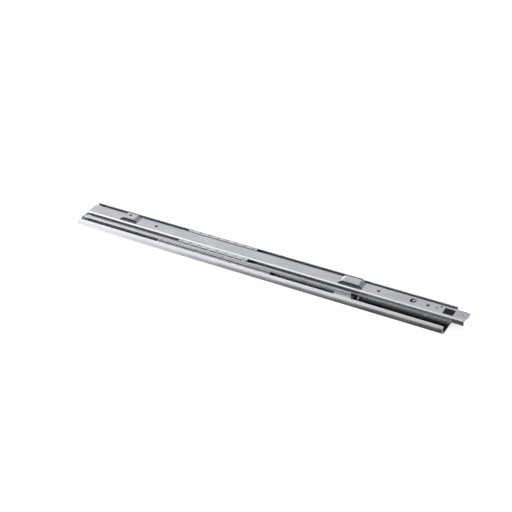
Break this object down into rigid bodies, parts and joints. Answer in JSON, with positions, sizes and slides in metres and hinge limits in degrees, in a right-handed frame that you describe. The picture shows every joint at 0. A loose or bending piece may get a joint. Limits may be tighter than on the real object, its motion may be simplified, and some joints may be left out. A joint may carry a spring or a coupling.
{
  "type": "drawer slide",
  "caption": "Telescoping ball-bearing drawer slide: a wide cabinet rail, an intermediate rail and a narrow drawer rail with bayonet hooks.",
  "frame": {"origin": "middle of the closed slide's length and width, on the back face that lies on the cabinet", "axes": "+X the way the drawer opens, +Y across the slide's mounted height, +Z from the cabinet towards the drawer"},
  "size_m": [0.582, 0.0534, 0.0231],
  "materials": {
    "zinc_steel": "bright zinc plate, lightly blued",
    "retainer_steel": "plain rolled strip, greased",
    "ball_steel": "polished",
    "rivet_steel": "plated",
    "spring_steel": "dull, oiled",
    "grey_rubber": "matt",
    "black_rubber": "matt",
    "nylon": "natural nylon"
  },
  "bodies": {
    "cabinet": {"cabinet_rail": "zinc_steel", "cabinet_rear_bumper": "grey_rubber", "rear_bumper_rivet": "rivet_steel"},
    "intermediate": {"intermediate_rail": "zinc_steel", "intermediate_stop_sleeve": "grey_rubber", "intermediate_insert_left": "nylon", "intermediate_insert_right": "nylon"},
    "drawer": {"drawer_rail": "zinc_steel", "front_bumper": "black_rubber", "lock_keeper": "zinc_steel", "keeper_rivet": "rivet_steel"},
    "lock": {"lock_leaf": "spring_steel"},
    "outer_left": {"outer_retainer_left": "retainer_steel", "outer_balls_left": "ball_steel"},
    "outer_right": {"outer_retainer_right": "retainer_steel", "outer_balls_right": "ball_steel"},
    "inner_left": {"inner_retainer_left": "retainer_steel", "inner_balls_left": "ball_steel"},
    "inner_right": {"inner_retainer_right": "retainer_steel", "inner_balls_right": "ball_steel"}
  },
  "joints": [
    {"name": "intermediate_slide", "type": "slide", "parent": "cabinet", "child": "intermediate", "axis": [1, 0, 0], "range_m": [0, 0.242]},
    {"name": "drawer_slide", "type": "slide", "parent": "intermediate", "child": "drawer", "axis": [1, 0, 0], "range_m": [0, 0.309]},
    {"name": "outer_retainer_left_roll", "type": "slide", "parent": "cabinet", "child": "outer_left", "axis": [1, 0, 0], "range_m": [0, 0.121]},
    {"name": "outer_retainer_right_roll", "type": "slide", "parent": "cabinet", "child": "outer_right", "axis": [1, 0, 0], "range_m": [0, 0.121]},
    {"name": "inner_retainer_left_roll", "type": "slide", "parent": "intermediate", "child": "inner_left", "axis": [1, 0, 0], "range_m": [0, 0.1545]},
    {"name": "inner_retainer_right_roll", "type": "slide", "parent": "intermediate", "child": "inner_right", "axis": [1, 0, 0], "range_m": [0, 0.1545]},
    {"name": "lock_press", "type": "hinge", "parent": "drawer", "child": "lock", "pos_m": [0.242, 0, 0.0161], "axis": [0, -1, 0], "range_deg": [0, 5], "stiffness_Nm_per_rad": 1.8}
  ],
  "couplings": [
    {"joint": "outer_retainer_left_roll", "follows": "intermediate_slide", "ratio": 0.5},
    {"joint": "outer_retainer_right_roll", "follows": "intermediate_slide", "ratio": 0.5},
    {"joint": "inner_retainer_left_roll", "follows": "drawer_slide", "ratio": 0.5},
    {"joint": "inner_retainer_right_roll", "follows": "drawer_slide", "ratio": 0.5}
  ]
}
